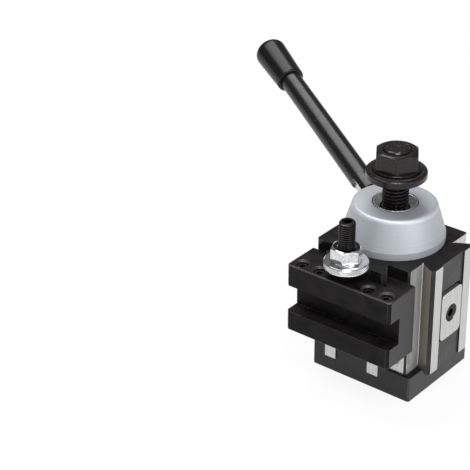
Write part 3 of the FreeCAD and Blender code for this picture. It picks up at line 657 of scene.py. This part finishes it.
class TOOLPOST_OT_holder_block(bpy.types.Operator):
    """Dress the tool holder: blackened outside, ground dovetail behind"""
    bl_idname = "toolpost.holder_block"
    bl_label = "Tool Holder"

    def execute(self, context):
        finishes = ["black_oxide_front", "black_oxide_top", "ground_steel_upright", "ground_flank",
                    "dry_black_oxide", "worn_black_edge"]
        softened_copy("holder_block", holder_zone, finishes, settings().edges.block)
        return {"FINISHED"}


class TOOLPOST_OT_clamp_plates(bpy.types.Operator):
    """Dress the two ground clamping plates and their socket screws"""
    bl_idname = "toolpost.clamp_plates"
    bl_label = "Clamping Plates"

    def execute(self, context):
        for side in ("front", "right"):
            softened_copy(side + "_clamp_plate", lambda *face: 0, ["ground_steel_upright"],
                          settings().edges.plate)
            plate_screw(side)
        return {"FINISHED"}


def plate_screw(side):
    """A round-edged cylinder head with a hexagon socket, made along Z and turned to face out."""
    node = side + "_plate_screw"
    low, high = (np.array(v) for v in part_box(node))
    outward = 0 if side == "right" else 1
    head = (high - low)[1 - outward] / 2
    span = (high - low)[outward]
    shank, depth, sink, lead, middle_radius = 2.5 * MM, 3.0 * MM, 2.1 * MM, 0.25 * MM, 0.0005 * MM
    angles = corner_angles(0.0, 10)
    socket = hexagon_radius(settings().threads.plate_socket, angles, 0.0)
    reach = settings().edges.fastener
    rows = profile([(middle_radius, 0), (shank, 0), (shank, span - depth), (head, span - depth),
                    (head, span), (socket + lead, span), (socket, span - lead),
                    (socket, span - sink), (middle_radius, span - sink - 0.6 * MM)], len(angles))
    rows = smooth_corners(rows, [0, reach, 0, reach, 2 * reach, 0, 0, 0, 0])
    points = turned_points(rows, angles)
    middle = (low + high) / 2
    if side == "right":
        points = middle + points[..., [2, 0, 1]] + [low[0] - middle[0], 0, 0]
    else:
        points = middle + points[..., [0, 2, 1]] * [1, -1, 1] + [0, high[1] - middle[1], 0]
    add_piece(closed_surface(node + "_dressed", points), finish("deep_black_screw"),
              NODES[node]["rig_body"], node)


class TOOLPOST_OT_hub(bpy.types.Operator):
    """Dress the silver ring and turn the sleeve in its mouth, with a bright rim and an inner cone darkened as
    painted shade
    """
    bl_idname = "toolpost.hub"
    bl_label = "Hub Ring and Sleeve"

    def execute(self, context):
        NODES["hub_ring"].data.materials[0] = finish("turned_satin_steel")
        low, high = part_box("centre_sleeve")
        radius, bore, rim, mouth = high.x, 7.5 * MM, 0.9 * MM, 3.0 * MM
        painted_shade_radius = radius - 3 * rim
        angles = even_angles(128)
        rows = profile([(bore, low.z), (radius, low.z), (radius, high.z), (radius - rim, high.z),
                        (bore, high.z - mouth)], len(angles))
        reach = settings().edges.fastener
        rows = smooth_corners(rows, [0.2 * MM, 0.4 * MM, 1.5 * reach, 1.5 * reach, 0.3 * MM], closed=True)
        mesh = closed_surface("centre_sleeve_dressed", turned_points(rows, angles), loop=True)
        add_piece(mesh, finish("ground_steel_round"), "post", "centre_sleeve")
        mesh.materials.append(finish("oiled_black_centre"))
        # painted shade: faces inside the mouth, under the washer, take the oiled black instead of the ground
        # steel
        paint_faces(mesh, lambda radius, height: (radius < painted_shade_radius).astype(int))
        return {"FINISHED"}


class TOOLPOST_OT_handle(bpy.types.Operator):
    """Finish the stud and the knob, and make the gloss black rod with its bright flats"""
    bl_idname = "toolpost.handle"
    bl_label = "Handle"

    def execute(self, context):
        NODES["handle_stud"].data.materials[0] = finish("ground_steel_round")
        NODES["handle_knob"].data.materials[0] = finish("moulded_black_knob")
        sizes = settings().handle
        across = math.acos(sizes.flats / 2 / sizes.root_radius)
        flat_columns = 12
        half = np.concatenate([np.linspace(-across, across, flat_columns + 1),
                               np.linspace(across, math.pi - across, 29)[1:-1]])
        angles = np.concatenate([half, half + math.pi])
        cosine = np.maximum(np.abs(np.cos(angles)), math.cos(across))
        flat = sizes.flats / 2 / cosine
        root, seat, radius = sizes.root_distance, sizes.seat_distance, sizes.root_radius
        step, hollow, tenon = root + sizes.flat_length, root + sizes.stud_reach, seat + sizes.tenon_reach
        rows = profile([(sizes.stud_radius, hollow), (sizes.stud_radius, root),
                        (radius - sizes.root_chamfer, root), (radius, root + sizes.root_chamfer),
                        (radius, step), (radius, step), (radius, step + sizes.step_edge),
                        (sizes.knob_radius, seat), (sizes.tenon_radius, seat),
                        (sizes.tenon_radius, tenon), (ON_AXIS, tenon), (ON_AXIS, hollow)], len(angles))
        rows[2:5, :, 0] = np.minimum(rows[2:5, :, 0], flat)
        points = turned_points(rows, angles + sizes.flat_turn)
        line = Vector((math.cos(sizes.heading) * math.cos(sizes.rise),
                       math.sin(sizes.heading) * math.cos(sizes.rise), math.sin(sizes.rise)))
        turn = np.array(Vector((0, 0, 1)).rotation_difference(line).to_matrix())
        mesh = closed_surface("handle_rod_dressed", points @ turn.T + [0, 0, sizes.start_height], loop=True)
        add_piece(mesh, finish("gloss_black_rod"), "handle", "handle_rod")
        mesh.materials.append(finish("ground_steel_round"))
        row, column = np.divmod(np.arange(len(mesh.polygons)), len(angles))
        on_flat = (row >= 2) & (row < 5) & (column % len(half) < flat_columns)
        mesh.polygons.foreach_set("material_index", on_flat.astype(int))
        return {"FINISHED"}


class TOOLPOST_OT_centre_fasteners(bpy.types.Operator):
    """Make the threaded centre bolt, its hexagon nut and the swivel washer"""
    bl_idname = "toolpost.centre_fasteners"
    bl_label = "Centre Bolt, Nut and Washer"

    def execute(self, context):
        sizes, nuts = settings().threads, settings().nuts
        reach = settings().edges.fastener
        black = finish("oiled_black_centre")

        low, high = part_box("centre_bolt")
        angles = even_angles(96)
        radius, neck, start = sizes.bolt_radius, low.z + sizes.bolt_head, low.z + sizes.bolt_thread_start
        foot = profile([(ON_AXIS, low.z), (high.x, low.z), (high.x, neck), (radius, neck), (radius, start)],
                       len(angles))
        foot = smooth_corners(foot, [0, 1.0 * MM, 0.3 * MM, 0.4 * MM, 0])
        shank = threaded_rows(radius, start + 0.2 * MM, high.z, sizes.bolt_pitch, angles)
        shank[..., 0] = np.minimum(shank[..., 0], radius - sizes.bolt_chamfer + high.z - shank[..., 1])
        tip = profile([(3.4 * MM, high.z), (1.2 * MM, high.z - 0.35 * MM), (ON_AXIS, high.z - 0.4 * MM)],
                      len(angles))
        rows = np.concatenate([foot, shank, tip])
        add_piece(closed_surface("centre_bolt_dressed", turned_points(rows, angles)), black, "post",
                  "centre_bolt")

        low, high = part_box("nut_washer")
        bore, edge, seat = 7.3 * MM, 0.6 * MM, high.z - nuts.washer_step
        angles = even_angles(128)
        rows = profile([(bore, low.z), (high.x - edge, low.z), (high.x, low.z + edge), (high.x, seat - edge),
                        (high.x - edge, seat), (nuts.washer_seat + 0.1 * MM, seat),
                        (nuts.washer_seat - 0.1 * MM, high.z), (bore, high.z)], len(angles))
        rows = smooth_corners(rows, [0.2 * MM, reach, reach, reach, reach, 0.1 * MM, reach, 0.2 * MM],
                              closed=True)
        add_piece(closed_surface("nut_washer_dressed", turned_points(rows, angles), loop=True), black,
                  "swivel_washer", "nut_washer")

        low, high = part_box("centre_nut")
        bore, edge, top = 7.05 * MM, 0.15 * MM, low.z + nuts.collar_height
        rows, angles = nut_rows(nuts.centre_flats, top, high.z, bore, nuts.centre_turn, reach)
        collar = profile([(high.x - edge, low.z), (high.x, low.z + edge), (high.x, top - edge),
                          (high.x - edge, top)], len(angles))
        inner = rows[-1:].copy()
        inner[..., 1] = low.z
        rows = np.concatenate([inner, collar, rows])
        add_piece(closed_surface("centre_nut_dressed", turned_points(rows, angles), loop=True), black,
                  "clamping_nut", "centre_nut")
        return {"FINISHED"}


def nut_rows(flats, low, high, bore, turn, reach):
    """Profile of a hexagon nut from its lower outside edge up over the 30 degree chamfer and down the bore.
    The wall's height falls off with its radius, which draws the curved chamfer line on every flat."""
    angles = corner_angles(turn)
    wall = hexagon_radius(flats, angles, turn)
    crown = flats / 2 * settings().nuts.crown
    shoulder = high - (wall - crown) * math.tan(math.radians(30))
    lead = 0.12 * bore
    corners = profile([(wall - 0.02 * MM, low), (wall, low + 0.02 * MM), (wall, shoulder), (crown, high),
                       (bore + lead, high), (bore, high - lead), (bore, low + lead), (bore + lead, low)],
                      len(angles))
    return smooth_corners(corners, [0, 0, reach, reach, 0.1 * MM, 0.1 * MM, 0.1 * MM, 0]), angles


class TOOLPOST_OT_holder_fasteners(bpy.types.Operator):
    """Make the height stud, its knurled nut and lock nut, and the four tool clamping screws"""
    bl_idname = "toolpost.holder_fasteners"
    bl_label = "Stud, Nuts and Clamping Screws"

    def execute(self, context):
        sizes, nuts = settings().threads, settings().nuts
        reach = settings().edges.fastener
        threaded_stud("height_stud", "holder", sizes.stud_radius, sizes.stud_pitch, sizes.stud_socket,
                      0.8 * MM)
        for number in range(1, 5):
            threaded_stud(f"clamp_screw_{number}", f"tool_screw_{number}", sizes.screw_radius,
                          sizes.screw_pitch, sizes.screw_socket, 0.5 * MM)

        centre, bore = axis_of("lock_nut"), 4.40 * MM
        low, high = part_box("lock_nut")
        rows, angles = nut_rows(nuts.lock_flats, low.z, high.z, bore, nuts.lock_turn, reach)
        mesh = closed_surface("lock_nut_dressed", turned_points(rows, angles, centre), loop=True)
        add_piece(mesh, finish("bright_zinc_plate"), "height_lock_nut", "lock_nut")
        mesh.materials.append(finish("dull_zinc_plate"))
        # painted reflection: the top face takes the darker zinc, for the dark that it mirrors
        paint_faces(mesh, lambda radius, height: (height > high.z - 0.01 * MM).astype(int))

        low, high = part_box("knurled_nut")
        radius, edge, top = (high.x - low.x) / 2, 0.5 * MM, low.z + nuts.disc_height
        angles = even_angles(nuts.knurl_count * 9)
        start = profile([(bore, high.z), (bore, low.z), (radius - edge, low.z), (radius, low.z + edge)],
                        len(angles))
        rim = straight(profile([(radius, low.z + edge)], len(angles)),
                       profile([(radius, top - edge)], len(angles)), 26)
        rim[..., 0] -= knurl(rim[..., 1], angles, low.z + edge, top - edge)
        end = profile([(radius, top - edge), (radius - edge, top), (nuts.boss_radius, top),
                       (nuts.boss_radius, high.z), (bore, high.z)], len(angles))
        end = smooth_corners(end, [0, 0.1 * MM, 0.15 * MM, 0.2 * MM, 0])
        rows = np.concatenate([start[:-1], rim, end[1:-1]])
        add_piece(closed_surface("knurled_nut_dressed", turned_points(rows, angles, centre), loop=True),
                  finish("bright_zinc_plate"), "height_nut", "knurled_nut")
        return {"FINISHED"}


def knurl(height, angles, low, high):
    """Depth of a diamond knurl: the greater of two triangle waves that climb the rim to the left and to the
    right, faded out at both edges."""
    nuts, pitch, edge = settings().nuts, 1.15 * MM, 0.15 * MM
    around = angles * nuts.knurl_count / TAU
    up = (height - low) / pitch
    waves = [2 * np.abs((around + side * up) % 1 - 0.5) for side in (-1, 1)]
    fade = np.clip(np.minimum(height - low, high - height) / edge, 0, 1)
    return nuts.knurl_depth * fade * np.clip(1.25 * np.maximum(*waves) - 0.25, 0, 1)


def threaded_stud(node, body, radius, pitch, socket, chamfer):
    """A threaded shank with coned ends and a hexagon socket in its top."""
    low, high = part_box(node)
    angles = corner_angles(0.0, 10)
    across = hexagon_radius(socket, angles, 0.0)
    shank = threaded_rows(radius, low.z, high.z, pitch, angles)
    ends = np.minimum(high.z - shank[..., 1], shank[..., 1] - low.z)
    shank[..., 0] = np.minimum(shank[..., 0], radius - chamfer + ends)
    depth, lead = socket, 0.2 * MM      # the socket is as deep as it is wide
    top = profile([(across + lead, high.z), (across, high.z - lead), (across, high.z - depth),
                   (ON_AXIS, high.z - depth - 0.2 * socket)], len(angles))
    foot = profile([(ON_AXIS, low.z)], len(angles))
    points = turned_points(np.concatenate([foot, shank, top]), angles, axis_of(node))
    add_piece(closed_surface(node + "_dressed", points), finish("oiled_black_small"), body, node)


class TOOLPOST_OT_inner_parts(bpy.types.Operator):
    """Finish the parts inside the post: the cam spindle, both pistons and the ring's grub screw"""
    bl_idname = "toolpost.inner_parts"
    bl_label = "Inner Parts"

    def execute(self, context):
        for node in ("cam_spindle", "front_piston", "right_piston"):
            NODES[node].data.materials[0] = finish("ground_steel_round")
        NODES["hub_grub_screw"].data.materials[0] = finish("oiled_black_small")
        return {"FINISHED"}


class TOOLPOST_OT_stage(bpy.types.Operator):
    """Lay the pale floor, hang the soft lights and set the camera"""
    bl_idname = "toolpost.stage"
    bl_label = "Stage, Lights and Camera"

    def execute(self, context):
        lay_floor()
        light_world()
        hang_lamp("key_right", (1.00, -0.20, 0.45), (0.0, 0.0, 0.06), 0.7, 0.8, 3.2)
        hang_lamp("overhead_front", (0.30, -0.38, 0.92), (0.0, 0.0, 0.09), 0.4, 0.4, 4.4)
        hang_lamp("overhead_left", (-0.385, 0.10, 0.91), (-0.06, 0.03, 0.10), 0.95, 0.5, 7.4)
        place_camera()
        context.scene.view_settings.view_transform = "Standard"
        return {"FINISHED"}


def lay_floor():
    """A wide round floor. To the camera and in reflections it is mostly its own even white, and it keeps a
    soft shadow."""
    radius, columns = 4.0, 96
    points = turned_points(profile([(radius, 0.0)], columns), even_angles(columns))[0]
    mesh = bpy.data.meshes.new("floor")
    mesh.from_pydata(points.tolist(), [], [list(range(columns))])
    floor = bpy.data.objects.new("floor", mesh)
    bpy.context.scene.collection.objects.link(floor)
    material, tree, place = new_material("matt_white_floor")
    pale = (*settings().studio.floor, 1)
    matt = add_node(tree, "ShaderNodeBsdfDiffuse", {"Color": pale})
    glow = add_node(tree, "ShaderNodeEmission", {"Color": (1, 1, 1, 1), "Strength": 1.0})
    path = add_node(tree, "ShaderNodeLightPath")
    seen = path.outputs["Is Camera Ray"]
    for way in ("Is Glossy Ray", "Is Transmission Ray"):
        seen = add_node(tree, "ShaderNodeMath", {"operation": "MAXIMUM"},
                        {0: seen, 1: path.outputs[way]}).outputs[0]
    share = add_node(tree, "ShaderNodeMath", {"operation": "MULTIPLY", 1: 0.9}, {0: seen})
    mix = add_node(tree, "ShaderNodeMixShader", links={0: share.outputs[0], 1: matt.outputs[0],
                                                       2: glow.outputs[0]})
    add_node(tree, "ShaderNodeOutputMaterial", links={"Surface": mix.outputs[0]})
    mesh.materials.append(material)


def light_world():
    """A soft studio room: bright on the right and in front, darker behind on the left."""
    world = bpy.data.worlds.new("studio_room")
    bpy.context.scene.world = world
    world.use_nodes = True
    tree = world.node_tree
    tree.nodes.clear()
    way = add_node(tree, "ShaderNodeTexCoord").outputs["Generated"]
    bright_side = (0.42, -0.26, -0.05)
    towards = add_node(tree, "ShaderNodeVectorMath", {"operation": "DOT_PRODUCT", 1: bright_side},
                       {0: way}).outputs["Value"]
    place = add_node(tree, "ShaderNodeMath", {"operation": "ADD", 1: 0.5}, {0: towards}).outputs[0]
    level = ramp(tree, place, [(0.0, 0.16), (0.25, 0.20), (0.6, 0.45), (1.0, 0.9)])
    sky = add_node(tree, "ShaderNodeBackground", {"Strength": 1.0}, {"Color": level})
    add_node(tree, "ShaderNodeOutputWorld", links={"Surface": sky.outputs[0]})


def hang_lamp(name, place, target, width, height, power):
    """A soft box: an area lamp of a given width and height that faces a point."""
    lamp = bpy.data.lights.new(name, "AREA")
    lamp.shape = "RECTANGLE"
    lamp.size, lamp.size_y = width, height
    lamp.energy = power
    piece = bpy.data.objects.new(name, lamp)
    bpy.context.scene.collection.objects.link(piece)
    aim = Vector(target) - Vector(place)
    piece.matrix_world = Matrix.Translation(place) @ aim.to_track_quat("-Z", "Y").to_matrix().to_4x4()


def place_camera():
    """Stands the camera on its heading and elevation, a distance back from the foot of the bolt, then moves
    it aside and up so that the foot falls beside and below the picture's centre."""
    studio = settings().studio
    a, e, r = studio.azimuth, studio.elevation, studio.roll
    back = Vector((math.sin(a) * math.cos(e), -math.cos(a) * math.cos(e), math.sin(e)))
    level = Vector((math.cos(a), math.sin(a), 0))
    above = back.cross(level)
    right = math.cos(r) * level + math.sin(r) * above
    up = math.cos(r) * above - math.sin(r) * level
    camera = bpy.data.objects.new("camera", bpy.data.cameras.new("camera"))
    bpy.context.scene.collection.objects.link(camera)
    camera.data.lens = studio.lens
    camera.data.sensor_width = 36
    camera.data.clip_start = 0.01
    camera.data.clip_end = 50
    turn = Matrix((right, up, back)).transposed().to_4x4()
    place = studio.distance * back - studio.aside * right + studio.below * up
    camera.matrix_world = Matrix.Translation(place) @ turn
    bpy.context.scene.camera = camera


class ToolPostSettings(bpy.types.PropertyGroup):
    """All settings of the tool post."""
    threads: PointerProperty(name="Threads", description="Thread sizes", type=ThreadSizes)
    nuts: PointerProperty(name="Nuts", description="Nut and washer sizes", type=NutSizes)
    handle: PointerProperty(name="Handle", description="Handle sizes", type=HandleSizes)
    edges: PointerProperty(name="Edges", description="Edge sizes", type=EdgeSizes)
    colours: PointerProperty(name="Colours", description="Base colours", type=FinishColours)
    studio: PointerProperty(name="Studio", description="Camera and floor", type=StudioSettings)


OPERATORS = (TOOLPOST_OT_post_body, TOOLPOST_OT_clamp_plates, TOOLPOST_OT_hub, TOOLPOST_OT_handle,
             TOOLPOST_OT_centre_fasteners, TOOLPOST_OT_holder_block, TOOLPOST_OT_holder_fasteners,
             TOOLPOST_OT_inner_parts, TOOLPOST_OT_stage)


class TOOLPOST_PT_panel(bpy.types.Panel):
    """Buttons for every group of pieces and for the stage."""
    bl_idname = "TOOLPOST_PT_panel"
    bl_label = "Tool Post"
    bl_space_type = "VIEW_3D"
    bl_region_type = "UI"
    bl_category = "Tool Post"

    def draw(self, context):
        for operator in OPERATORS:
            self.layout.operator(operator.bl_idname)


CLASSES = (ThreadSizes, NutSizes, HandleSizes, EdgeSizes, FinishColours, StudioSettings, ToolPostSettings,
           *OPERATORS, TOOLPOST_PT_panel)


def register():
    for item in CLASSES:
        bpy.utils.register_class(item)
    bpy.types.Scene.tool_post = PointerProperty(name="Tool post", type=ToolPostSettings)


def unregister():
    del bpy.types.Scene.tool_post
    for item in reversed(CLASSES):
        bpy.utils.unregister_class(item)


def main():
    register()
    bpy.ops.toolpost.post_body()
    bpy.ops.toolpost.clamp_plates()
    bpy.ops.toolpost.hub()
    bpy.ops.toolpost.handle()
    bpy.ops.toolpost.centre_fasteners()
    bpy.ops.toolpost.holder_block()
    bpy.ops.toolpost.holder_fasteners()
    bpy.ops.toolpost.inner_parts()
    bpy.ops.toolpost.stage()


if __name__ == "__main__":
    main()
